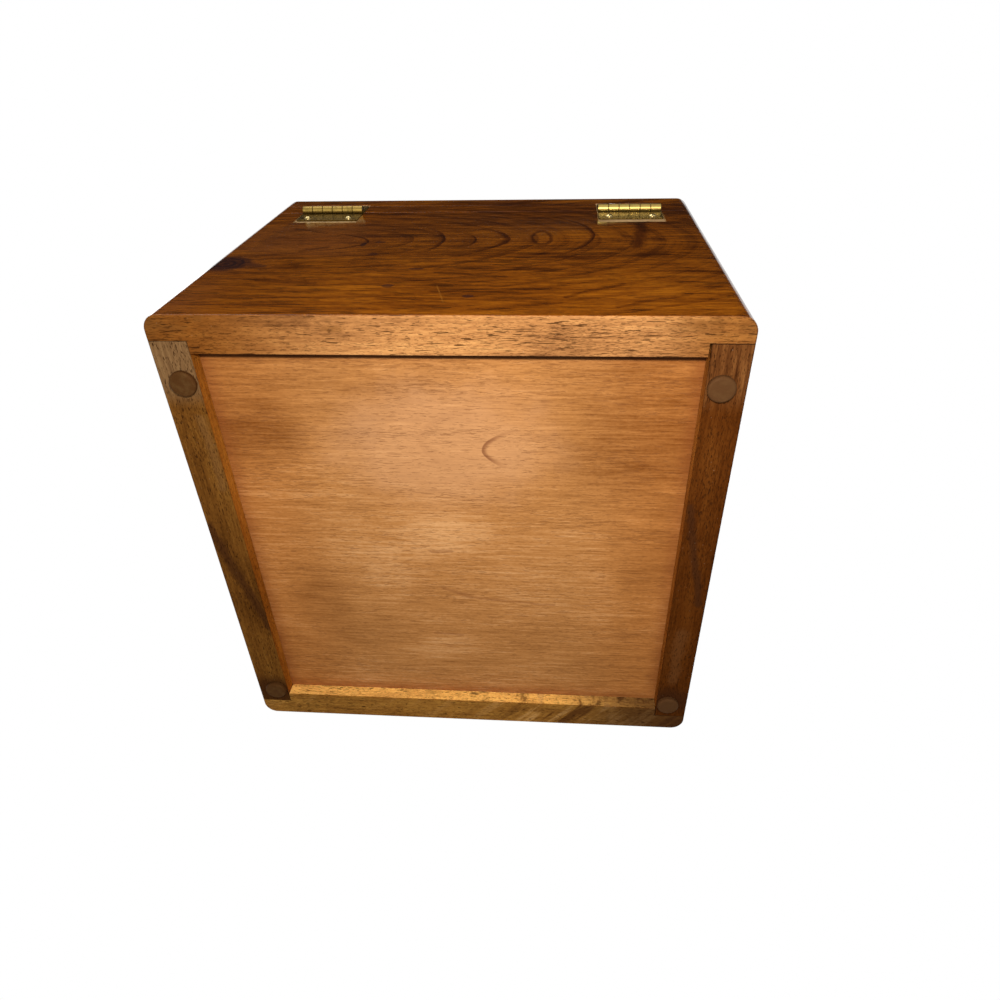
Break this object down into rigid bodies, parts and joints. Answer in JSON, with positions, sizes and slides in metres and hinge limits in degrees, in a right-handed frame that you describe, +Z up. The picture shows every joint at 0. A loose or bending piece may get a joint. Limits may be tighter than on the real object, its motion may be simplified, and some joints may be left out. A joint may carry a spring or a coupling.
{
  "type": "recipe box",
  "caption": "Square wooden box for recipe cards with a hinged lid: rabbeted solid sides, a plywood bottom in a groove, brass butt hinges let into the back and round rubber feet.",
  "frame": {"origin": "on the table under the middle of the whole object, hinge barrels included", "axes": "+Z up, -Y to the front where the lid lifts, +Y to the back with the hinges, +X to the right"},
  "size_m": [0.264, 0.269, 0.2133],
  "materials": {
    "stained_wood": "dark brown stained solid wood, glossy varnish outside",
    "plywood": "bare reddish tan plywood, satin",
    "brass": "brass plated sheet, slightly dulled",
    "screw_brass": "polished brass",
    "foot_rubber": "dark brown rubber, dull"
  },
  "bodies": {
    "box": {"back_panel": "stained_wood", "front_panel": "stained_wood", "left_side_panel": "stained_wood", "right_side_panel": "stained_wood", "bottom_panel": "plywood", "foot_front_left": "foot_rubber", "foot_front_right": "foot_rubber", "foot_back_left": "foot_rubber", "foot_back_right": "foot_rubber", "left_hinge_box_leaf": "brass", "left_hinge_pin": "brass", "left_hinge_box_screws": "screw_brass", "right_hinge_box_leaf": "brass", "right_hinge_pin": "brass", "right_hinge_box_screws": "screw_brass"},
    "lid": {"lid_top_board": "stained_wood", "lid_back_rail": "stained_wood", "lid_front_rail": "stained_wood", "lid_left_rail": "stained_wood", "lid_right_rail": "stained_wood", "left_hinge_lid_leaf": "brass", "left_hinge_lid_screws": "screw_brass", "right_hinge_lid_leaf": "brass", "right_hinge_lid_screws": "screw_brass"}
  },
  "joints": [
    {"name": "lid_hinge", "type": "hinge", "parent": "box", "child": "lid", "pos_m": [0, 0.132, 0.17915], "axis": [-1, 0, 0], "range_deg": [0, 180]}
  ]
}
